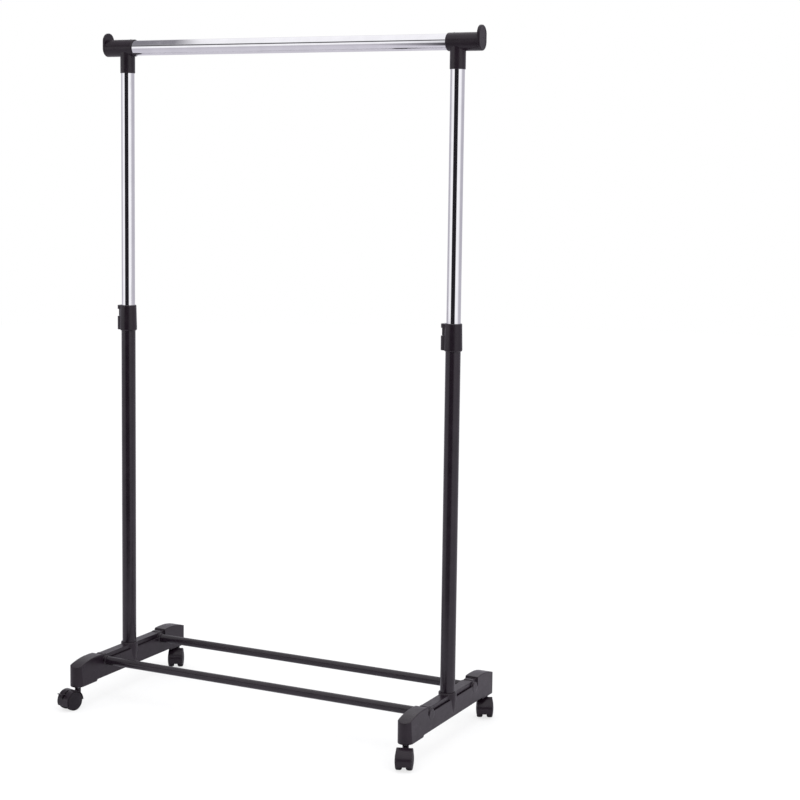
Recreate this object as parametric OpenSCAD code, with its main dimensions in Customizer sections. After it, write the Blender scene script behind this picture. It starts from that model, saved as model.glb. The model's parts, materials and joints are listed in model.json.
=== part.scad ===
// Rolling clothes rack: two moulded feet on twin-wheel casters, two telescopic posts
// with cam clamps, and a chrome hanging rail held between two tees.
// Millimetres. +Z is up, +X runs along the rail, the origin is on the floor under the
// middle of the outline, a little in front of the posts because the casters trail forwards.

/* [Rack] */
// Distance between the two post axes
post_spacing = 780; // [500:10:1100]
// Height of the rail axis above the floor as drawn
rail_height = 1400; // [1250:10:1500]
// Height of the top of the clamp collars above the floor
collar_top = 848; // [750:1:950]

/* [Tubes] */
// Outer diameter of the chromed upper posts
upper_d = 28.6; // [25:0.1:30]
// Outer diameter of the black lower posts
lower_d = 30.6; // [30:0.1:33]
// Outer diameter of the chromed hanging rail
rail_d = 32; // [28:0.5:34]
// Outer diameter of the two cross bars
bar_d = 18; // [16:0.5:20]
// Wall thickness of the posts and bars
tube_wall = 0.7; // [0.6:0.1:1]
// Length of the upper posts
upper_length = 790; // [700:5:800]
// Distance of each cross bar axis from the post axis
bar_offset = 104; // [90:1:120]

/* [Feet] */
// Length of a moulded foot, end to end
foot_length = 409; // [380:1:450]
// Width of a moulded foot at its bottom edge
foot_width = 32; // [30:1:36]
// Height of the underside between the end pads
foot_bottom = 50; // [48:0.5:55]
// Height of the top of the central rib
rib_top = 96; // [94:0.5:100]
// Highest point of the crowned end pads
crown_top = 101; // [98:0.5:104]

/* [Casters] */
// Wheel diameter
wheel_d = 40; // [38:1:42]
// Distance from the swivel axis back to the wheel axle
trail = 21; // [21:0.5:24]
// Distance from the swivel axis to the end of the foot
stem_inset = 15.5; // [14:0.5:18]
// How far each caster has swung round from straight ahead: FL, FR, BL, BR
swivel = [348, 20, 28, 25]; // [0:1:359]

/* [Hidden] */
post_y = 18; // the plane of the posts
$fn = 96;

plastic_black = "#2b292d";
tube_black = "#1d1b1e";
chrome = "#c9cace";
steel = "#8f9194";
tyre_black = "#222024";

left = -1;
right = 1;
post_x = post_spacing / 2;
near = 0.05;    // radial play of parts pressed or pushed together
running = 0.06; // radial play of parts that turn on each other

upper_r = upper_d / 2;
lower_r = lower_d / 2;
lower_bore_r = lower_r - tube_wall;
rail_r = rail_d / 2;
bar_r = bar_d / 2;

// Foot
socket_floor = 60;     // the lower post stands on this
socket_floor_t = 4;
boss_r = 18.5;
boss_top = 99;
pad_bottom = 46.5;     // the end pads are a little deeper than the middle
pad_start = 141;
foot_taper = 1.8;      // each side leans in this much from bottom to top
rib_half = 10.5;
ledge_z = 86.5;        // top of the side walls beside the rib
crown_r = 175;
crown_y = 140;
pad_top_start = 118.5;
groove_floor = 82;     // floor of the grooves between the rib and the side walls
ledge_skin = 4.2;      // extra material under the ledges, for those grooves
skin = 2.6;            // moulded wall thickness
bar_z = 83;
bar_boss_r = 10.8;
bar_end_x = post_x + 6;
stem_y = foot_length / 2 - stem_inset;
stem_column_r = 9;

// Clamp collar
collar_h = 56;
collar_bottom = collar_top - collar_h;
collar_r_top = 17.3;
collar_r_bottom = 18.5;
lower_top = collar_bottom + 29;
boss_x = -17;
clamp_boss_r = 9.4;
window_z = [31, 46.5];
lug_top = 55;
pin_x = -19;
pin_y = 1.5;
pin_r = 1.8;
barrel_r = 4.4;

// Mast
tee_drop = 53.5;       // from the rail axis to the bottom of the tee collar
tee_collar_r = 15.8;
sleeve_r = 18.1;
sleeve_in = 21;        // sleeve reach towards the middle of the rack
sleeve_out = 47.5;     // sleeve reach outwards
rail_end = post_x + 30;
cap_rise = 14;
cap_t = 6;
upper_top = rail_height - rail_r - 4;
upper_bottom = upper_top - upper_length;

// Casters
wheel_r = wheel_d / 2;
wheel_inner_x = 4.2;
wheel_rim_x = 16;
wheel_dome = 2.7;
hood_r = 22.6;
hood_gap_r = 21;
hood_half = 15.8;
hood_skirt = 9;        // the hood's trailing edge and web end this far below the axle
web_half = 3.4;
axle_r = 2.5;
stem_r = 4;
stem_bottom = 32;
swivel_boss_r = 6.4;
swivel_boss_z = [29, 42.4];
brake_pivot = [-trail - 8, 33.5]; // y, z
brake_pin_r = 1.2;
brake_half = 1.5;      // half width of the lever inside the web

// ---------- helpers ----------

module at_post(side) {
    translate([side * post_x, post_y, 0]) children();
}

module tube(length, r_out, wall) {
    difference() {
        cylinder(h = length, r = r_out);
        translate([0, 0, -1]) cylinder(h = length + 2, r = r_out - wall);
    }
}

// A solid of revolution about X made from a profile drawn as (radius, x).
module lathe_x() {
    rotate([0, 90, 0]) rotate_extrude() children();
}

// ---------- foot ----------

// Outline seen from above: straight sides with round ends.
module foot_plan(inset) {
    r = foot_width / 2 + 0.4 - inset;
    reach = foot_length / 2 - foot_width / 2 - 0.4;
    square([2 * r, 2 * reach], center = true);
    for (s = [-1, 1]) translate([0, s * reach]) circle(r);
}

// Outline seen along X, drawn as (y, z): one crowned end pad.
module pad_side(inset) {
    end = foot_length / 2 - inset + 1;
    corner = 7;
    drop = crown_r - sqrt(pow(crown_r, 2) - pow(end - corner - crown_y, 2));
    shoulder = crown_top - drop - corner - inset;
    intersection() {
        union() {
            translate([pad_top_start + inset, 0]) square([end - corner - pad_top_start - inset, 200]);
            square([end, shoulder]);
            translate([end - corner, shoulder]) circle(corner);
        }
        translate([crown_y, crown_top - crown_r]) circle(crown_r - inset);
        translate([pad_top_start + inset, 0]) square([200, 200]);
    }
}

// Both pads and the lower walls between them.
module foot_side(inset) {
    for (s = [0, 1]) mirror([s, 0]) pad_side(inset);
    translate([-crown_y, 0]) square([2 * crown_y, ledge_z - inset - (inset > 0 ? ledge_skin : 0)]);
}

// The underside is a little higher in the middle, with a leaning step at each pad.
module foot_underside() {
    lean = 1.5;
    polygon([[-pad_start - lean, 0], [pad_start + lean, 0], [pad_start + lean, pad_bottom],
             [pad_start - lean, foot_bottom], [-pad_start + lean, foot_bottom],
             [-pad_start - lean, pad_bottom]]);
}

// Outline seen along Y, drawn as (x, z): sides that lean in, round top corners.
module foot_front(inset) {
    b = foot_width / 2 - inset;
    t = b - foot_taper;
    c = 2.2;
    shoulder = crown_top - inset - c;
    polygon([[-b, pad_bottom - 10], [b, pad_bottom - 10], [b, pad_bottom], [t, shoulder], [-t, shoulder],
             [-b, pad_bottom]]);
    translate([-t + c, shoulder - 0.5]) square([2 * (t - c), c + 2]);
    for (s = [-1, 1]) translate([s * (t - c), shoulder]) circle(c);
}

module foot_block(inset, bottom) {
    intersection() {
        translate([0, 0, bottom]) linear_extrude(70) foot_plan(inset);
        rotate([90, 0, 90]) translate([0, 0, -40]) linear_extrude(80) foot_side(inset);
        rotate([90, 0, 0]) translate([0, 0, -foot_length]) linear_extrude(2 * foot_length) foot_front(inset);
    }
}

// Narrow grooves beside the rib, and open slots between each bar boss and its end pad.
module ledge_grooves() {
    for (s = [-1, 1]) for (x = [-13, rib_half - 1.5]) {
        translate([x, s > 0 ? 12 : -bar_offset, groove_floor]) cube([4, bar_offset - 12, 20]);
        translate([x < 0 ? -30 : x, s > 0 ? bar_offset : -pad_top_start, groove_floor])
            cube([30 - rib_half + 1.5, pad_top_start - bar_offset, 20]);
    }
}

// The raised rib that ties the end pads to the post boss, with a low bump over each bar.
module foot_rib() {
    translate([-rib_half, -pad_top_start - 2, groove_floor - 1.5])
        cube([2 * rib_half, 2 * pad_top_start + 4, rib_top - groove_floor + 1.5]);
    for (s = [-1, 1])
        translate([-rib_half + 1, s * (bar_offset + 1) - 4, rib_top - 1]) cube([2 * rib_half - 2, 8, 2.6]);
}

// Round bosses round the bar ends: the inner side, +X here, has a smaller collar.
module bar_bosses() {
    for (s = [-1, 1]) translate([0, s * bar_offset, bar_z]) rotate([0, 90, 0]) {
        translate([0, 0, -foot_width / 2 + 0.6]) cylinder(h = foot_width - 1.2, r = bar_boss_r);
        cylinder(h = foot_width / 2 + 1.2, r = bar_boss_r - 0.7);
    }
}

// The boss round the post swells out of the side walls as it rises.
module post_boss() {
    swell = 84;
    foot = foot_bottom + 0.5;
    translate([0, 0, foot]) cylinder(h = swell - foot, r1 = foot_width / 2 - 1, r2 = boss_r);
    translate([0, 0, swell]) cylinder(h = boss_top - swell - 1, r = boss_r);
    translate([0, 0, boss_top - 1]) cylinder(h = 1, r1 = boss_r, r2 = boss_r - 0.8);
}

module foot_hollow() {
    difference() {
        foot_block(skin, pad_bottom - 5);
        translate([0, 0, 30]) cylinder(h = 200, r = boss_r);
        for (s = [-1, 1]) {
            translate([0, s * stem_y, 30]) cylinder(h = 200, r = stem_column_r);
            translate([-30, s * bar_offset, bar_z]) rotate([0, 90, 0]) cylinder(h = 60, r = bar_boss_r - 0.2);
            for (y = [45, 75, 128, 160]) translate([-30, s * y - 0.8, foot_bottom + 2]) cube([60, 1.6, 80]);
        }
    }
}

// A foot with its bars leaving towards +X; the right-hand foot is its mirror image.
module base(side) {
    color(plastic_black) at_post(side) mirror([side > 0 ? 1 : 0, 0, 0]) difference() {
        union() {
            difference() {
                foot_block(0, pad_bottom);
                rotate([90, 0, 90]) translate([0, 0, -40]) linear_extrude(80) foot_underside();
                ledge_grooves();
            }
            foot_rib();
            bar_bosses();
            post_boss();
        }
        foot_hollow();
        translate([0, 0, socket_floor]) cylinder(h = 60, r = lower_r + near);
        translate([0, 0, 40]) cylinder(h = 30, r = 3.3);
        translate([0, 0, 40]) cylinder(h = socket_floor - socket_floor_t - 40, r = 11);
        for (s = [-1, 1]) {
            translate([0, s * stem_y, 40]) cylinder(h = 23, r = stem_r + near);
            translate([0, s * stem_y, 62.5]) cylinder(h = 17.5, r = 5.55);
            translate([post_x - bar_end_x, s * bar_offset, bar_z]) rotate([0, 90, 0])
                cylinder(h = 60, r = bar_r + near);
        }
    }
}

// ---------- lower frame ----------

module lower_post(side) {
    color(tube_black) at_post(side) translate([0, 0, socket_floor])
        tube(lower_top - socket_floor, lower_r, tube_wall);
}

module post_plug(side) {
    color(plastic_black) at_post(side) translate([0, 0, socket_floor + 0.2]) difference() {
        cylinder(h = 20, r = lower_bore_r - near);
        translate([0, 0, -1]) cylinder(h = 22, r = 3.05);
    }
}

module post_bolts() {
    color(steel) for (side = [left, right]) at_post(side) {
        translate([0, 0, 54.4 - 4]) cylinder(h = 4, r = 5.5);
        translate([0, 0, 54]) cylinder(h = 24, r = 3);
    }
}

module post_washers() {
    color(steel) for (side = [left, right]) at_post(side) translate([0, 0, 54.45]) difference() {
        cylinder(h = 1.5, r = 9);
        translate([0, 0, -1]) cylinder(h = 4, r = 3.2);
    }
}

module cross_bar(y) {
    color(tube_black) translate([-bar_end_x, post_y + y, bar_z]) rotate([0, 90, 0])
        tube(2 * bar_end_x, bar_r, tube_wall);
}

// ---------- clamp ----------

// Half profile of the collar as (radius, z): leaning side and a round lower edge.
module collar_profile() {
    round_r = 4;
    difference() {
        union() {
            polygon([[8, round_r], [collar_r_bottom, round_r], [collar_r_top, collar_h - 1],
                     [collar_r_top - 1, collar_h], [8, collar_h]]);
            translate([8, 0]) square([collar_r_bottom - round_r - 8, round_r + 1]);
            translate([collar_r_bottom - round_r, round_r]) circle(round_r);
        }
        translate([-1, -1]) square([lower_r + near + 1, lower_top - collar_bottom + 1 + near]);
        translate([-1, 0]) square([upper_r + 0.1 + 1, collar_h + 1]);
        polygon([[upper_r, collar_h - 0.6], [upper_r + 1.2, collar_h + 1], [upper_r, collar_h + 1]]);
    }
}

module clamp_boss(z0, z1) {
    translate([boss_x, 0, z0]) cylinder(h = z1 - z0, r = clamp_boss_r);
    translate([boss_x, -clamp_boss_r, z0]) cube([-boss_x - 6, 2 * clamp_boss_r, z1 - z0]);
}

module clamp_collar(side) {
    color(plastic_black) at_post(side) translate([0, 0, collar_bottom]) difference() {
        union() {
            rotate_extrude() collar_profile();
            difference() {
                union() {
                    clamp_boss(2, window_z[0]);
                    clamp_boss(window_z[1], lug_top);
                }
                translate([0, 0, -1]) cylinder(h = collar_h + 2, r = 16);
            }
        }
        translate([-40, -clamp_boss_r + 0.8, window_z[0]])
            cube([40 - 8, 2 * clamp_boss_r - 1.6, window_z[1] - window_z[0]]);
        translate([pin_x, pin_y, 18]) cylinder(h = 40, r = pin_r + 0.03);
    }
}

module lever_pin(side) {
    color(steel) at_post(side) translate([pin_x, pin_y, collar_bottom + 18]) {
        cylinder(h = lug_top - 18 + 0.1, r = pin_r);
        translate([0, 0, lug_top - 18 + 0.05]) cylinder(h = 0.9, r1 = pin_r + 0.9, r2 = pin_r - 0.2);
    }
}

// Seen from above: cam barrel with a lobe, a straight arm beside the collar, a flared thumb tab.
module lever_plan() {
    translate([pin_x, pin_y]) circle(barrel_r);
    translate([pin_x - 2.4, pin_y]) circle(3.9);
    polygon([[-23.3, pin_y], [-18.6, pin_y - 2], [-18.6, 21], [-16.8, 27.5], [-28.5, 26.5],
             [-27.5, 21.5], [-23.3, 19]]);
}

// Seen along X, drawn as (y, z): the tab rises above the arm with a bevelled top.
module lever_side() {
    bottom = window_z[0] + 0.5;
    top = window_z[1] - 0.5;
    polygon([[-10, bottom], [17, bottom], [20, bottom + 1.5], [22, bottom + 4], [25.5, bottom + 4],
             [27, bottom + 5.5], [27, top + 6], [25.5, top + 7.8], [23.5, top + 7.8], [16.5, top],
             [-10, top]]);
}

module clamp_lever(side) {
    color(plastic_black) at_post(side) translate([0, 0, collar_bottom]) difference() {
        intersection() {
            linear_extrude(collar_h) lever_plan();
            rotate([90, 0, 90]) translate([0, 0, -60]) linear_extrude(80) lever_side();
        }
        translate([pin_x, pin_y, 0]) cylinder(h = 60, r = pin_r + running);
    }
}

// ---------- mast ----------

module upper_post(side) {
    color(chrome) at_post(side) translate([0, 0, upper_bottom]) tube(upper_length, upper_r, 0.8);
}

module glide_plug(side) {
    color(plastic_black) at_post(side) translate([0, 0, upper_bottom]) {
        translate([0, 0, -5.05]) cylinder(h = 5, r = lower_bore_r - 0.1);
        translate([0, 0, -1]) cylinder(h = 21, r = upper_r - 0.8 - near);
    }
}

// Sleeve wall as (radius, x): round lip at the rail side and four fine ring grooves.
module sleeve_profile() {
    lip = 1.9;
    difference() {
        union() {
            translate([rail_r, -sleeve_in + lip]) square([sleeve_r - rail_r, sleeve_out + sleeve_in - lip]);
            translate([rail_r, -sleeve_in]) square([sleeve_r - lip - rail_r, 2 * lip]);
            translate([sleeve_r - lip, -sleeve_in + lip]) circle(lip);
        }
        translate([0, -sleeve_in - 1]) square([rail_r + near, sleeve_out + sleeve_in + 2]);
        for (i = [0:3]) translate([sleeve_r - 0.4, 19 + 4.5 * i]) square([2, 0.7]);
    }
}

module tee(side) {
    color(plastic_black) translate([side * post_x, post_y, rail_height]) mirror([side < 0 ? 1 : 0, 0, 0]) {
        lathe_x() sleeve_profile();
        translate([-8.5, 0, sleeve_r - 0.6]) cylinder(h = 1.1, r = 1.6);
        difference() {
            union() {
                translate([0, 0, -tee_drop + 1]) cylinder(h = tee_drop - 1, r = tee_collar_r);
                translate([0, 0, -tee_drop]) cylinder(h = 1.2, r1 = tee_collar_r - 1, r2 = tee_collar_r);
            }
            translate([0, 0, -tee_drop - 1]) cylinder(h = tee_drop, r = upper_r + near);
            translate([-40, 0, 0]) rotate([0, 90, 0]) cylinder(h = 80, r = rail_r + near);
            translate([-40, -40, 0]) cube([80, 80, 40]);
        }
    }
}

// Cap plate outline along X as (half width, x): the outer edge is round.
module cap_edge_profile() {
    edge = 2.5;
    square([sleeve_r, cap_t - edge]);
    square([sleeve_r - edge, cap_t]);
    translate([sleeve_r - edge, cap_t - edge]) circle(edge);
}

module cap_slab(scale_in, depth) {
    for (z = [0, cap_rise])
        translate([0, 0, z]) rotate([0, 90, 0]) cylinder(h = depth, r = sleeve_r - scale_in);
    translate([0, -sleeve_r + scale_in, 0]) cube([depth, 2 * (sleeve_r - scale_in), cap_rise]);
}

module end_cap(side) {
    color(plastic_black) translate([side * post_x, post_y, rail_height]) mirror([side < 0 ? 1 : 0, 0, 0])
        translate([sleeve_out, 0, 0]) difference() {
            union() {
                for (z = [0, cap_rise]) translate([0, 0, z]) lathe_x() cap_edge_profile();
                for (s = [0, 1]) mirror([0, s, 0]) rotate([0, 0, 0]) multmatrix(
                    [[0, 1, 0, 0], [1, 0, 0, 0], [0, 0, 1, 0]]) linear_extrude(cap_rise) cap_edge_profile();
                translate([-12, 0, 0]) rotate([0, 90, 0]) cylinder(h = 12.5, r = rail_r);
            }
            translate([-13, 0, 0]) rotate([0, 90, 0]) cylinder(h = 12, r = rail_r - 2);
            translate([cap_t - 0.5, 0, 0]) cap_slab(4.5, 2);
            translate([cap_t - 1.2, 0, cap_rise / 2]) rotate([0, 90, 0]) cylinder(h = 3, r = 1.2);
        }
}

module top_rail() {
    color(chrome) translate([-rail_end, post_y, rail_height]) rotate([0, 90, 0])
        tube(2 * rail_end, rail_r, 0.8);
}

// ---------- casters ----------

CORNERS = [[left, -1], [right, -1], [left, 1], [right, 1]];

// The caster frame has its swivel axis on Z and trails towards -Y.
module at_stem(i) {
    translate([CORNERS[i][0] * post_x, post_y + CORNERS[i][1] * stem_y, 0]) children();
}

module at_caster(i) {
    at_stem(i) rotate([0, 0, swivel[i]]) children();
}

module caster_stem(i) {
    color(steel) at_stem(i) {
        translate([0, 0, stem_bottom]) cylinder(h = 32, r = stem_r);
        translate([0, 0, 43]) cylinder(h = pad_bottom - 43, r = 5.3);
        translate([0, 0, 63]) cylinder(h = 11, r = 3);
        translate([0, 0, 73]) cylinder(h = 3, r = stem_r);
        translate([0, 0, 76]) cylinder(h = 2, r1 = stem_r, r2 = 2);
    }
}

module stem_grip_rings() {
    color(steel) for (i = [0:3]) at_stem(i) translate([0, 0, 64.2]) difference() {
        cylinder(h = 8.6, r = 5.5);
        translate([0, 0, -1]) cylinder(h = 11, r = 3.1);
        translate([0, -0.8, -1]) cube([8, 1.6, 11]);
    }
}

module caster_hood(i) {
    braked = i == 0;
    color(plastic_black) at_caster(i) difference() {
        union() {
            translate([0, -trail, wheel_r]) rotate([0, 90, 0]) {
                intersection() {
                    difference() {
                        translate([0, 0, -hood_half]) cylinder(h = 2 * hood_half, r = hood_r);
                        translate([0, 0, -hood_half - 1]) cylinder(h = 2 * hood_half + 2, r = hood_gap_r);
                    }
                    translate([-40, -40, -40]) union() {
                        cube([40, 80, 80]);
                        translate([40, 0, 0]) cube([hood_skirt, 40, 80]);
                    }
                }
                translate([0, 0, -web_half]) intersection() {
                    cylinder(h = 2 * web_half, r = hood_r - 0.4);
                    translate([-40, -40, 0]) cube([40 + hood_skirt, 80, 2 * web_half]);
                }
            }
            difference() {
                translate([0, 0, swivel_boss_z[0]])
                    cylinder(h = swivel_boss_z[1] - swivel_boss_z[0], r = swivel_boss_r);
                for (s = [-1, 1]) translate([s > 0 ? web_half : -web_half - 30, -trail, wheel_r])
                    rotate([0, 90, 0]) cylinder(h = 30, r = hood_gap_r - 0.4);
            }
        }
        translate([0, 0, stem_bottom - 0.2]) cylinder(h = 30, r = stem_r + running);
        translate([-30, -trail, wheel_r]) rotate([0, 90, 0]) cylinder(h = 60, r = axle_r + 0.02);
        if (braked) brake_pocket();
    }
}

// Room in the web and hood for the lever to swing down.
module brake_pocket() {
    translate([-brake_half - 0.35, -trail - 26, 27]) cube([2 * brake_half + 0.7, 22, 18]);
    translate([-30, brake_pivot[0], brake_pivot[1]]) rotate([0, 90, 0])
        cylinder(h = 60, r = brake_pin_r + 0.02);
}

module axle(i) {
    color(steel) at_caster(i) translate([-13, -trail, wheel_r]) rotate([0, 90, 0])
        cylinder(h = 26, r = axle_r);
}

// Wheel half section as (radius, x): rounded tread edges and a slightly domed disc.
module wheel_profile() {
    dome_r = (pow(wheel_r, 2) + pow(wheel_dome, 2)) / (2 * wheel_dome);
    edge = 3.5;
    difference() {
        intersection() {
            union() {
                translate([0, wheel_inner_x]) square([wheel_r - edge, 30]);
                translate([0, wheel_inner_x + edge]) square([wheel_r, wheel_rim_x - 2 * edge]);
                translate([wheel_r - edge, wheel_inner_x + edge]) circle(edge);
                translate([wheel_r - edge, wheel_rim_x - edge]) circle(edge);
            }
            translate([0, wheel_rim_x + wheel_dome - dome_r]) circle(dome_r, $fn = 240);
        }
        translate([0, 0]) square([axle_r + running, 13.3]);
        translate([0, wheel_rim_x + wheel_dome - 0.5]) square([3, 3]);
        translate([axle_r + 3, 0]) square([wheel_r - axle_r - 8, wheel_inner_x + 6]);
    }
}

module wheel(i, s) {
    color(tyre_black) at_caster(i) translate([0, -trail, wheel_r]) mirror([s < 0 ? 1 : 0, 0, 0])
        lathe_x() wheel_profile();
}

// The thumb tab seen along X, drawn as (y, z): a plate that tips up towards its edge.
module brake_tab_side() {
    polygon([[-13.8, 1.6], [-22, 4.6], [-22.9, 5.4], [-22.7, 6.6], [-21.6, 7], [-13.8, 4.2]]);
}

module brake_lever() {
    color(plastic_black) at_caster(0) translate([0, brake_pivot[0], brake_pivot[1]]) difference() {
        union() {
            translate([-brake_half, 0, 0]) rotate([0, 90, 0]) cylinder(h = 2 * brake_half, r = 2.8);
            translate([-brake_half, -16, 0]) cube([2 * brake_half, 16, 2.8]);
            rotate([90, 0, 90]) translate([0, 0, -5.5]) linear_extrude(11) brake_tab_side();
        }
        translate([-10, 0, 0]) rotate([0, 90, 0]) cylinder(h = 20, r = brake_pin_r + running);
    }
}

module brake_pin() {
    color(steel) at_caster(0) translate([-2.9, brake_pivot[0], brake_pivot[1]])
        rotate([0, 90, 0]) cylinder(h = 5.8, r = brake_pin_r);
}

// ---------- nodes ----------

base(left);  // base_left
base(right);  // base_right
lower_post(left);  // lower_post_left
lower_post(right);  // lower_post_right
post_plug(left);  // post_plug_left
post_plug(right);  // post_plug_right
post_bolts();
post_washers();
cross_bar(-bar_offset);  // cross_bar_front
cross_bar(bar_offset);  // cross_bar_back
clamp_collar(left);  // clamp_collar_left
clamp_collar(right);  // clamp_collar_right
clamp_lever(left);  // clamp_lever_left
clamp_lever(right);  // clamp_lever_right
lever_pin(left);  // lever_pin_left
lever_pin(right);  // lever_pin_right
upper_post(left);  // upper_post_left
upper_post(right);  // upper_post_right
glide_plug(left);  // glide_plug_left
glide_plug(right);  // glide_plug_right
tee(left);  // tee_left
tee(right);  // tee_right
end_cap(left);  // end_cap_left
end_cap(right);  // end_cap_right
top_rail();
stem_grip_rings();
caster_stem(0);  // caster_stem_front_left
caster_stem(1);  // caster_stem_front_right
caster_stem(2);  // caster_stem_back_left
caster_stem(3);  // caster_stem_back_right
caster_hood(0);  // caster_hood_front_left
caster_hood(1);  // caster_hood_front_right
caster_hood(2);  // caster_hood_back_left
caster_hood(3);  // caster_hood_back_right
axle(0);  // axle_front_left
axle(1);  // axle_front_right
axle(2);  // axle_back_left
axle(3);  // axle_back_right
wheel(0, -1);  // wheel_front_left_a
wheel(0, 1);  // wheel_front_left_b
wheel(1, -1);  // wheel_front_right_a
wheel(1, 1);  // wheel_front_right_b
wheel(2, -1);  // wheel_back_left_a
wheel(2, 1);  // wheel_back_left_b
wheel(3, -1);  // wheel_back_right_a
wheel(3, 1);  // wheel_back_right_b
brake_lever();
brake_pin();
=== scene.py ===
"""Rolling clothes rack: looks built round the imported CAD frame. Metres, the CAD's own frame."""
import json
import math

import bmesh
import bpy
from mathutils import Matrix, Vector


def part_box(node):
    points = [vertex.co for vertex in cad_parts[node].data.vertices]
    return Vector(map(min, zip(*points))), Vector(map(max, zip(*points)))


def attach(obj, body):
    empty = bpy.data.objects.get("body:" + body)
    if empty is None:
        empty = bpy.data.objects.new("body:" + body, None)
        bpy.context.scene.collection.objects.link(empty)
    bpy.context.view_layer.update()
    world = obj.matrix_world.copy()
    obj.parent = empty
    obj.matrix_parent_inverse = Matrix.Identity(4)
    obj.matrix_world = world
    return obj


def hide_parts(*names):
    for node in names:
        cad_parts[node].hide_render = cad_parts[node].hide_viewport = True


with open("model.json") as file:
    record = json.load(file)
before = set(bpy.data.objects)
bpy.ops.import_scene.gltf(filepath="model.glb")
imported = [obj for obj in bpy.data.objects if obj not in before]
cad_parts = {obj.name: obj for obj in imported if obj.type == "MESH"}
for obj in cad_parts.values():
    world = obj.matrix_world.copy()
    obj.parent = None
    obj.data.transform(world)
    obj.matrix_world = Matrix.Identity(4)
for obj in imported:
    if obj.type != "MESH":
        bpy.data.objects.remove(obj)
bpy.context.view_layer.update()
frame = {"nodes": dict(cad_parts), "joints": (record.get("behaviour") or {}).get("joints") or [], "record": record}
NODES = frame["nodes"]
JOINTS = {j["name"]: j for j in frame["joints"]}
BODY_OF = {n: b for b, ns in frame["record"]["behaviour"]["bodies"].items() for n in ns}
SLOT_OF = {s["node"]: s["material_slot"] for s in frame["record"]["subparts"]}
MM = 0.001
SHARP_DEGREES = 42  # turned edges steeper than this stay crisp
CASTERS = ("front_left", "front_right", "back_left", "back_right")


# ---------------------------------------------------------------- materials

class Shader:
    """A Principled material built from named steps, in the object's own coordinates."""

    def __init__(self, name):
        self.mat = bpy.data.materials.new(name)
        self.mat.use_nodes = True
        self.tree = self.mat.node_tree
        self.bsdf = next(n for n in self.tree.nodes if n.type == "BSDF_PRINCIPLED")
        self.coord = self.tree.nodes.new("ShaderNodeTexCoord").outputs["Object"]

    def link(self, a, b):
        self.tree.links.new(a, b)

    def stretched(self, scale):
        """Object coordinates scaled apart along the three axes."""
        node = self.tree.nodes.new("ShaderNodeMapping")
        node.inputs["Scale"].default_value = scale
        self.link(self.coord, node.inputs["Vector"])
        return node.outputs["Vector"]

    def noise(self, scale, detail=2.0, vector=None, roughness=0.5):
        """Cloudy noise round 0.5; scale is in features per metre."""
        node = self.tree.nodes.new("ShaderNodeTexNoise")
        node.inputs["Scale"].default_value = scale
        node.inputs["Detail"].default_value = detail
        node.inputs["Roughness"].default_value = roughness
        self.link(vector or self.coord, node.inputs["Vector"])
        return node.outputs["Fac"]

    def ramp(self, fac, stops):
        """Two colours blended between their (position, colour) stops."""
        node = self.tree.nodes.new("ShaderNodeValToRGB")
        for element, (pos, colour) in zip(node.color_ramp.elements, stops):
            element.position = pos
            element.color = (*colour, 1.0)
        self.link(fac, node.inputs["Fac"])
        return node.outputs["Color"]

    def span(self, fac, low, high, from_low=0.3, from_high=0.7):
        """The stretch from_low to from_high of fac, mapped to low to high."""
        node = self.tree.nodes.new("ShaderNodeMapRange")
        node.inputs["From Min"].default_value = from_low
        node.inputs["From Max"].default_value = from_high
        node.inputs["To Min"].default_value = low
        node.inputs["To Max"].default_value = high
        self.link(fac, node.inputs["Value"])
        return node.outputs["Result"]

    def mix(self, fac, a, b):
        """Colour a where fac is 0, b where it is 1."""
        node = self.tree.nodes.new("ShaderNodeMix")
        node.data_type = "RGBA"
        self.link(fac, node.inputs["Factor"])
        for socket, value in ((node.inputs[6], a), (node.inputs[7], b)):
            if isinstance(value, tuple):
                socket.default_value = (*value, 1.0)
            else:
                self.link(value, socket)
        return node.outputs[2]

    def edges(self, low, high):
        """0 on flat surfaces, 1 on outside edges."""
        geo = self.tree.nodes.new("ShaderNodeNewGeometry")
        return self.span(geo.outputs["Pointiness"], 0.0, 1.0, low, high)

    def bump(self, heights):
        """heights: (fac, strength, distance in metres), laid over each other."""
        normal = None
        for fac, strength, distance in heights:
            node = self.tree.nodes.new("ShaderNodeBump")
            node.inputs["Strength"].default_value = strength
            node.inputs["Distance"].default_value = distance
            self.link(fac, node.inputs["Height"])
            if normal is not None:
                self.link(normal, node.inputs["Normal"])
            normal = node.outputs["Normal"]
        self.link(normal, self.bsdf.inputs["Normal"])

    def set(self, **values):
        """Values or sockets for the shader's inputs, with _ for each space in their names."""
        for key, value in values.items():
            socket = self.bsdf.inputs[key.replace("_", " ")]
            if isinstance(value, bpy.types.NodeSocket):
                self.link(value, socket)
            else:
                socket.default_value = value


def moulded_plastic(name, dark, light, rough=(0.27, 0.37), grain=1500.0, shine=0.37):
    """Satin black moulding: spark-eroded grain, faint flow marks, paler rubbed edges."""
    s = Shader(name)
    base = s.ramp(s.noise(22.0, 4.0), [(0.32, dark), (0.7, light)])
    worn = s.edges(0.52, 0.6)
    rubbed = tuple(min(1.0, c * 2.0 + 0.008) for c in light)
    patchy = s.tree.nodes.new("ShaderNodeMath")
    patchy.operation = "MULTIPLY"
    s.link(worn, patchy.inputs[0])
    s.link(s.span(s.noise(160.0, 3.0), 0.0, 0.8, 0.4, 0.7), patchy.inputs[1])
    s.set(
        Base_Color=s.mix(patchy.outputs[0], base, rubbed),
        Roughness=s.span(s.noise(90.0, 5.0), *rough),
        Specular_IOR_Level=shine,
    )
    s.bump([(s.noise(grain, 2.0), 0.14, 0.0001), (s.noise(240.0, 3.0), 0.06, 0.00025)])
    return s.mat


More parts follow.
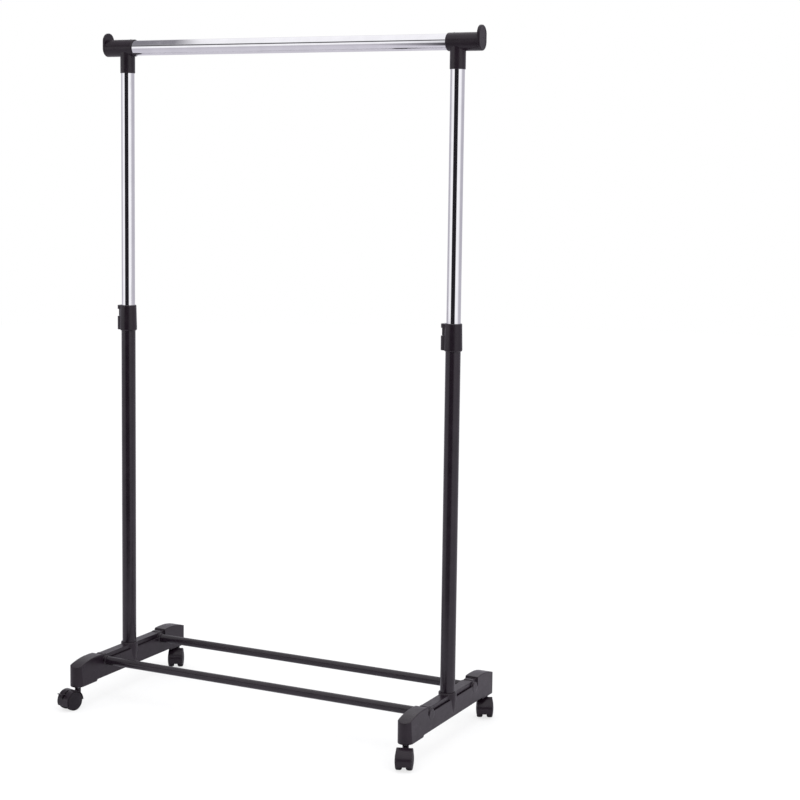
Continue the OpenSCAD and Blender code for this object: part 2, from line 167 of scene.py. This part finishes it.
def powder_coat(name):
    """Semi-gloss black powder coat with a fine orange peel and a few dust specks."""
    s = Shader(name)
    dark, light, dust = (0.0085, 0.0052, 0.0088), (0.0125, 0.0082, 0.0130), (0.03, 0.03, 0.032)
    base = s.ramp(s.noise(35.0, 3.0), [(0.35, dark), (0.7, light)])
    specks = s.span(s.noise(2600.0, 1.0), 0.0, 0.25, 0.74, 0.82)
    s.set(
        Base_Color=s.mix(specks, base, dust),
        Roughness=s.span(s.noise(130.0, 4.0), 0.2, 0.27),
        Specular_IOR_Level=0.5,
    )
    s.bump([(s.noise(900.0, 2.0), 0.07, 0.00012)])
    return s.mat


def chrome_plate(name, along):
    """Bright chrome over polished tube: faint drawing lines along it and handling haze."""
    s = Shader(name)
    lines = s.stretched(tuple(2.0 if axis == along else 900.0 for axis in "xyz"))
    haze = s.noise(28.0, 5.0, roughness=0.6)
    s.set(
        Base_Color=s.ramp(haze, [(0.35, (0.78, 0.78, 0.80)), (0.7, (0.84, 0.84, 0.86))]),
        Metallic=1.0,
        Roughness=s.span(haze, 0.035, 0.075, 0.35, 0.75),
    )
    s.bump([(s.noise(1.0, 2.0, lines), 0.004, 0.00002)])
    return s.mat


def zinc_plate(name):
    """Zinc-plated steel: cloudy, slightly blue, softly brushed."""
    s = Shader(name)
    cloud = s.noise(160.0, 4.0)
    s.set(
        Base_Color=s.ramp(cloud, [(0.3, (0.38, 0.39, 0.41)), (0.7, (0.56, 0.57, 0.60))]),
        Metallic=1.0,
        Roughness=s.span(cloud, 0.24, 0.42),
    )
    s.bump([(s.noise(1.0, 2.0, s.stretched((1500.0, 1500.0, 60.0))), 0.08, 0.00005)])
    return s.mat


PLASTIC = moulded_plastic("moulded_black", (0.0080, 0.0044, 0.0080), (0.0120, 0.0070, 0.0120))
WHEEL = moulded_plastic("wheel_nylon", (0.0062, 0.0040, 0.0066), (0.0095, 0.0062, 0.0100),
                        rough=(0.42, 0.54), grain=2200.0, shine=0.3)
COAT = powder_coat("black_powder_coat")
CHROME_UP = chrome_plate("chrome_posts", "z")
CHROME_ALONG = chrome_plate("chrome_rail", "x")
ZINC = zinc_plate("zinc_steel")
LOOKS = {"black_plastic": PLASTIC, "black_tube": COAT, "chrome_tube": CHROME_UP,
         "wheel_nylon": WHEEL, "zinc_steel": ZINC}


# ---------------------------------------------------------------- pieces

def add_piece(name, mesh, node, material):
    """A detailed piece that stands for one CAD node and moves with its body."""
    obj = bpy.data.objects.new(name, mesh)
    bpy.context.scene.collection.objects.link(obj)
    mesh.materials.clear()
    mesh.materials.append(material)
    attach(obj, BODY_OF[node])
    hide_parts(node)


def rounded(points, steps=5):
    """Profile points (r, t, fillet radius), closed, with every stated corner rounded."""
    out = []
    count = len(points)
    for i, (r, t, fillet) in enumerate(points):
        corner = Vector((r, t))
        if fillet <= 0:
            out.append(corner)
            continue
        before = Vector(points[i - 1][:2]) - corner
        after = Vector(points[(i + 1) % count][:2]) - corner
        a = corner + before.normalized() * min(fillet, before.length * 0.49)
        b = corner + after.normalized() * min(fillet, after.length * 0.49)
        for k in range(steps + 1):
            u = k / steps
            out.append(a * (1 - u) ** 2 + corner * 2 * u * (1 - u) + b * u ** 2)
    return out


def lathe(points, origin, axis, segments=96):
    """Turns a closed profile of (radius, distance along axis) about an axis through origin."""
    along = Vector(axis).normalized()
    side = along.orthogonal().normalized()
    across = along.cross(side)
    verts, rings = [], []
    for r, t in points:
        centre = Vector(origin) + along * t
        if r < 1e-7:
            rings.append([len(verts)])
            verts.append(centre)
            continue
        rings.append(list(range(len(verts), len(verts) + segments)))
        for k in range(segments):
            a = 2 * math.pi * k / segments
            verts.append(centre + (side * math.cos(a) + across * math.sin(a)) * r)
    faces = []
    for i, lower in enumerate(rings):
        upper = rings[(i + 1) % len(rings)]
        if len(lower) == 1 and len(upper) == 1:
            continue
        for k in range(segments):
            n = (k + 1) % segments
            if len(lower) == 1:
                faces.append((lower[0], upper[n], upper[k]))
            elif len(upper) == 1:
                faces.append((lower[k], lower[n], upper[0]))
            else:
                faces.append((lower[k], lower[n], upper[n], upper[k]))
    mesh = bpy.data.meshes.new("lathe")
    mesh.from_pydata(verts, [], faces)
    bm = bmesh.new()
    bm.from_mesh(mesh)
    bmesh.ops.recalc_face_normals(bm, faces=bm.faces)
    bm.to_mesh(mesh)
    bm.free()
    mesh.shade_smooth()
    mesh.set_sharp_from_angle(angle=math.radians(SHARP_DEGREES))
    return mesh


def tube_piece(name, node, axis, wall, material, lip=0.0003):
    """A round tube with rolled edges, from the CAD node's own box."""
    ring_gap = 0.12
    lo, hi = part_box(node)
    along = Vector([1.0 if a == axis else 0.0 for a in "xyz"])
    length = (hi - lo).dot(along)
    start = (lo + hi) / 2 - along * length / 2
    outer_r = min(hi - lo) / 2
    inner_r = outer_r - wall
    # Rings close to both ends keep the rolled edges from tilting the whole tube's shading.
    count = max(1, round(length / ring_gap))
    rings = [4 * lip] + [length * (k + 1) / (count + 1) for k in range(count)] + [length - 4 * lip]
    outside = [(outer_r, t, 0) for t in rings]
    inside = [(inner_r, t, 0) for t in reversed(rings)]
    points = rounded([(inner_r, 0, lip), (outer_r, 0, lip), *outside,
                      (outer_r, length, lip), (inner_r, length, lip), *inside], steps=3)
    add_piece(name, lathe(points, start, along, segments=128), node, material)


def soft_mesh(node, voxel, rounds, keep):
    """The CAD node's mesh as a moulding: remeshed finely, edges melted, then thinned out."""
    source = bpy.data.objects.new("source", NODES[node].data.copy())
    bpy.context.scene.collection.objects.link(source)
    bm = bmesh.new()
    bm.from_mesh(source.data)
    bmesh.ops.remove_doubles(bm, verts=bm.verts, dist=1e-6)
    bm.to_mesh(source.data)
    bm.free()
    remesh = source.modifiers.new("remesh", "REMESH")
    remesh.mode = "VOXEL"
    remesh.voxel_size = voxel
    smooth = source.modifiers.new("smooth", "SMOOTH")
    smooth.factor = 0.5
    smooth.iterations = rounds
    thin = source.modifiers.new("thin", "DECIMATE")
    thin.ratio = keep
    evaluated = source.evaluated_get(bpy.context.evaluated_depsgraph_get())
    mesh = bpy.data.meshes.new_from_object(evaluated)
    bpy.data.objects.remove(source)
    mesh.shade_smooth()
    return mesh


def moved(mesh, matrix):
    """A copy of a mesh, moved, turned or mirrored."""
    copy = mesh.copy()
    copy.transform(matrix)
    if matrix.determinant() < 0:
        copy.flip_normals()
    copy.shade_smooth()
    return copy


def turn_about(point, degrees):
    """A turn about the upright line through a point."""
    return (Matrix.Translation(point) @ Matrix.Rotation(math.radians(degrees), 4, "Z")
            @ Matrix.Translation(-Vector(point)))


def wheel_profile():
    """Half section of a wheel: round tread edges, and a domed disc inside a fine groove."""
    bore_r, bore_end = 2.56, 13.3
    tread_r, inner_face, rim, hub = 20.0, 4.2, 16.1, 18.6
    corners = [
        (bore_r, 9.6, 0), (bore_r, inner_face, 0.3),
        (tread_r, inner_face, 4.2), (tread_r, rim, 4.0),
        (15.3, 17.0, 0.3), (14.9, 16.65, 0.2), (14.4, 17.2, 0.4),  # the groove
        (9.0, 18.1, 3.0), (0.0, hub, 0), (0.0, bore_end, 0), (bore_r, bore_end, 0),
    ]
    return rounded([(r * MM, t * MM, fillet * MM) for r, t, fillet in corners])


def axle_heading(caster):
    """Degrees from +X to a caster's axle, at rest."""
    axis = JOINTS[f"roll_{caster}_a"]["axis"]
    return math.degrees(math.atan2(axis[1], axis[0]))


MIRROR_X = Matrix.Diagonal((-1.0, 1.0, 1.0, 1.0))
COARSE = 1.0

# Tubes.
for side in ("left", "right"):
    tube_piece(f"chrome_post_{side}", f"upper_post_{side}", "z", 0.8 * MM, CHROME_UP)
    tube_piece(f"black_post_{side}", f"lower_post_{side}", "z", 0.7 * MM, COAT)
tube_piece("hanging_rail", "top_rail", "x", 0.8 * MM, CHROME_ALONG)
for place in ("front", "back"):
    tube_piece(f"bar_{place}", f"cross_bar_{place}", "x", 0.7 * MM, COAT)

# Mouldings that are mirror images of each other: voxel in mm, smoothing rounds, share of faces kept.
for node, voxel, rounds, keep in (
    ("base", 0.75, 5, 0.3),
    ("tee", 0.45, 3, 0.3),
    ("end_cap", 0.45, 3, 0.4),
):
    mesh = soft_mesh(f"{node}_right", voxel * COARSE * MM, rounds, keep)
    add_piece(f"{node}_moulding_right", mesh, f"{node}_right", PLASTIC)
    add_piece(f"{node}_moulding_left", moved(mesh, MIRROR_X), f"{node}_left", PLASTIC)

# Clamps face the same way on both posts.
post_gap = (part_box("upper_post_left")[0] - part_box("upper_post_right")[0]).x
for node, voxel, rounds, keep in (("clamp_collar", 0.4, 4, 0.3), ("clamp_lever", 0.3, 5, 0.4)):
    mesh = soft_mesh(f"{node}_right", voxel * COARSE * MM, rounds, keep)
    add_piece(f"{node}_moulding_right", mesh, f"{node}_right", PLASTIC)
    add_piece(f"{node}_moulding_left", moved(mesh, Matrix.Translation((post_gap, 0, 0))),
              f"{node}_left", PLASTIC)

# Casters: the braked hood has its own mesh, the other three share one.
BRAKED, PLAIN = "front_left", "front_right"
HOOD_FINISH = (0.32 * COARSE * MM, 4, 0.3)
swivel_at = {k: Vector(JOINTS[f"swivel_{k}"]["pos_m"]) for k in CASTERS}
plain_hood = soft_mesh(f"caster_hood_{PLAIN}", *HOOD_FINISH)
for k in CASTERS:
    node = f"caster_hood_{k}"
    if k == BRAKED:
        mesh = soft_mesh(node, *HOOD_FINISH)
    else:
        shift = Matrix.Translation(swivel_at[k] - swivel_at[PLAIN])
        turn = turn_about(swivel_at[k], axle_heading(k) - axle_heading(PLAIN))
        mesh = moved(plain_hood, turn @ shift)
    add_piece(f"hood_moulding_{k}", mesh, node, PLASTIC)
    for wheel in "ab":
        joint = JOINTS[f"roll_{k}_{wheel}"]
        outward = Vector(joint["axis"]) * (1 if wheel == "b" else -1)
        mesh = lathe(wheel_profile(), joint["pos_m"], outward)
        add_piece(f"wheel_{wheel}_{k}", mesh, f"wheel_{k}_{wheel}", WHEEL)

mesh = soft_mesh("brake_lever", 0.25 * COARSE * MM, 3, 0.5)
add_piece("brake_lever_moulding", mesh, "brake_lever", PLASTIC)

# What stays as the CAD has it gets its finish.
for name, node in NODES.items():
    node.data.materials.clear()
    node.data.materials.append(LOOKS[SLOT_OF[name]])


# ---------------------------------------------------------------- stage

class Maths:
    """Number and colour steps in a node tree, for the floor and the studio round it."""

    def __init__(self, tree, coordinate):
        self.tree = tree
        split = tree.nodes.new("ShaderNodeSeparateXYZ")
        tree.links.new(tree.nodes.new("ShaderNodeTexCoord").outputs[coordinate], split.inputs[0])
        self.x, self.y, self.z = split.outputs
        self.path = tree.nodes.new("ShaderNodeLightPath").outputs

    def do(self, op, *values, clamp=False):
        """One maths step on numbers or sockets."""
        node = self.tree.nodes.new("ShaderNodeMath")
        node.operation = op
        node.use_clamp = clamp
        for socket, value in zip(node.inputs, values):
            if isinstance(value, (int, float)):
                socket.default_value = value
            else:
                self.tree.links.new(value, socket)
        return node.outputs[0]

    def heading(self):
        """Degrees round from -Y, the front, towards +X."""
        return self.do("DEGREES", self.do("ARCTAN2", self.x, self.do("MULTIPLY", self.y, -1.0)))

    def inside(self, value, low, high, soft):
        """1 between low and high, falling to 0 over soft on each side."""
        up = self.do("MULTIPLY", self.do("SUBTRACT", value, low - soft / 2), 1 / soft, clamp=True)
        down = self.do("MULTIPLY", self.do("SUBTRACT", high + soft / 2, value), 1 / soft, clamp=True)
        return self.do("MULTIPLY", up, down)

    def blend(self, fac, a, b):
        """Colour a where fac is 0, b where it is 1."""
        node = self.tree.nodes.new("ShaderNodeMix")
        node.data_type = "RGBA"
        for socket, value in ((node.inputs["Factor"], fac), (node.inputs[6], a), (node.inputs[7], b)):
            if isinstance(value, tuple):
                socket.default_value = (*value, 1.0)
            else:
                self.tree.links.new(value, socket)
        return node.outputs[2]


DARK_END = (-24.0, 43.0)  # headings of the unlit end of the studio, in degrees
UNLIT = (0.018, 0.016, 0.020)


def make_floor():
    """A pale floor with a faint shadow. Shiny parts see it quieter, and dark at the unlit end."""
    floor_radius, lit_radius, far_away, glow_share = 9.0, 1.0, 20.0, 0.72
    bm = bmesh.new()
    bmesh.ops.create_circle(bm, cap_ends=True, radius=floor_radius, segments=96)
    mesh = bpy.data.meshes.new("floor")
    bm.to_mesh(mesh)
    bm.free()
    floor = bpy.data.objects.new("floor", mesh)
    bpy.context.scene.collection.objects.link(floor)
    mat = bpy.data.materials.new("pale_floor")
    mat.use_nodes = True
    tree = mat.node_tree
    out = next(n for n in tree.nodes if n.type == "OUTPUT_MATERIAL")
    bsdf = next(n for n in tree.nodes if n.type == "BSDF_PRINCIPLED")
    bsdf.inputs["Base Color"].default_value = (0.95, 0.95, 0.955, 1)
    bsdf.inputs["Roughness"].default_value = 0.9
    bsdf.inputs["Specular IOR Level"].default_value = 0.0
    m = Maths(tree, "Object")
    radius = m.do("SQRT", m.do("ADD", m.do("MULTIPLY", m.x, m.x), m.do("MULTIPLY", m.y, m.y)))
    dark = m.do("MULTIPLY", m.inside(m.heading(), *DARK_END, 6.0),
                m.inside(radius, lit_radius, far_away, 0.5))
    quiet = tree.nodes.new("ShaderNodeBsdfDiffuse")
    tree.links.new(m.blend(dark, (0.56, 0.54, 0.585), UNLIT), quiet.inputs["Color"])
    glow = tree.nodes.new("ShaderNodeEmission")
    glow.inputs["Color"].default_value = (1.0, 1.0, 1.0, 1)
    shader = bsdf.outputs[0]
    for fac, other in ((m.do("MULTIPLY", m.path["Is Camera Ray"], glow_share), glow),
                       (m.path["Is Glossy Ray"], quiet)):
        mixer = tree.nodes.new("ShaderNodeMixShader")
        tree.links.new(fac, mixer.inputs["Fac"])
        tree.links.new(shader, mixer.inputs[1])
        tree.links.new(other.outputs[0], mixer.inputs[2])
        shader = mixer.outputs[0]
    tree.links.new(shader, out.inputs["Surface"])
    mesh.materials.append(mat)


def make_world():
    """White studio. Shiny parts also see its unlit end, its grey back and the grey of its ceiling."""
    white, grey_back, grey_ceiling = (1.1, 1.09, 1.12), (0.56, 0.54, 0.60), (0.27, 0.26, 0.29)
    soft_light, backdrop = (1.08, 1.08, 1.10), (1.0, 1.0, 1.0)
    world = bpy.data.worlds.new("studio")
    bpy.context.scene.world = world
    world.use_nodes = True
    tree = world.node_tree
    tree.nodes.clear()
    m = Maths(tree, "Generated")
    heading = m.heading()
    height = m.do("DEGREES", m.do("ARCSINE", m.z))
    behind = m.do("SUBTRACT", 1.0, m.inside(heading, -70.0, 96.0, 26.0))
    low_down = m.do("SUBTRACT", 1.0, m.inside(height, 24.0, 200.0, 8.0))
    room = m.blend(m.do("MULTIPLY", behind, low_down), white, grey_back)
    far_left = m.do("MULTIPLY", m.inside(m.x, -2.0, -0.548, 0.01), m.inside(height, 30.0, 200.0, 4.0))
    room = m.blend(far_left, room, grey_ceiling)
    dark = m.do("MULTIPLY", m.inside(heading, *DARK_END, 5.0), m.inside(height, -50.0, 22.0, 5.0))
    beam = m.do("MULTIPLY", m.inside(heading, -75.0, -24.0, 6.0), m.inside(height, 15.0, 29.0, 5.0))
    room = m.blend(m.do("MAXIMUM", dark, m.do("MULTIPLY", beam, 0.95)), room, UNLIT)
    seen = m.blend(m.path["Is Glossy Ray"], soft_light, room)
    seen = m.blend(m.path["Is Camera Ray"], seen, backdrop)
    background = tree.nodes.new("ShaderNodeBackground")
    tree.links.new(seen, background.inputs["Color"])
    out = tree.nodes.new("ShaderNodeOutputWorld")
    tree.links.new(background.outputs[0], out.inputs["Surface"])


def softbox(name, place, aim, size, watts):
    """A soft area light that neither the camera nor a reflection sees."""
    data = bpy.data.lights.new(name, "AREA")
    data.shape = "RECTANGLE"
    data.size, data.size_y = size
    data.energy = watts
    light = bpy.data.objects.new(name, data)
    light.location = place
    light.rotation_euler = (Vector(aim) - Vector(place)).to_track_quat("-Z", "Y").to_euler()
    light.visible_camera = False
    light.visible_glossy = False
    bpy.context.scene.collection.objects.link(light)


def make_camera():
    """The photograph's viewpoint, solved from the rack's own lines: angles in degrees, then pixels
    for the lens and metres for the camera's place and the point it looks at."""
    azimuth, pitch, roll = (math.radians(a) for a in (26.498, 6.094, 0.760))
    focal_px, distance, frame_px, shift_px = 1787.5, 3.7286, 800, -48.0
    across, upward, target_z = 0.2436, 0.0108, 0.7603
    sensor_mm = 36.0
    posts_y = sum(corner.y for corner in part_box("upper_post_left")) / 2
    forward = Vector((-math.sin(azimuth) * math.cos(pitch), math.cos(azimuth) * math.cos(pitch),
                      -math.sin(pitch)))
    right = Vector((math.cos(azimuth), math.sin(azimuth), 0))
    up = right.cross(forward)
    data = bpy.data.cameras.new("camera")
    cam = bpy.data.objects.new("camera", data)
    bpy.context.scene.collection.objects.link(cam)
    cam.location = Vector((0, posts_y, target_z)) + right * across + up * upward - forward * distance
    frame_right = right * math.cos(roll) + up * math.sin(roll)
    frame_up = up * math.cos(roll) - right * math.sin(roll)
    cam.rotation_mode = "QUATERNION"
    cam.rotation_quaternion = Matrix((frame_right, frame_up, -forward)).transposed().to_quaternion()
    data.sensor_width = sensor_mm
    data.lens = focal_px * sensor_mm / frame_px
    data.shift_y = shift_px / frame_px
    data.clip_start, data.clip_end = 0.05, 50.0
    bpy.context.scene.camera = cam


make_floor()
make_world()
softbox("top_softbox", (0.5, -0.6, 3.4), (0, 0, 0.3), (2.6, 2.6), 30)
softbox("right_softbox", (3.2, -1.0, 1.6), (0, 0, 0.5), (1.6, 2.4), 22)
make_camera()
bpy.context.scene.view_settings.view_transform = "Standard"
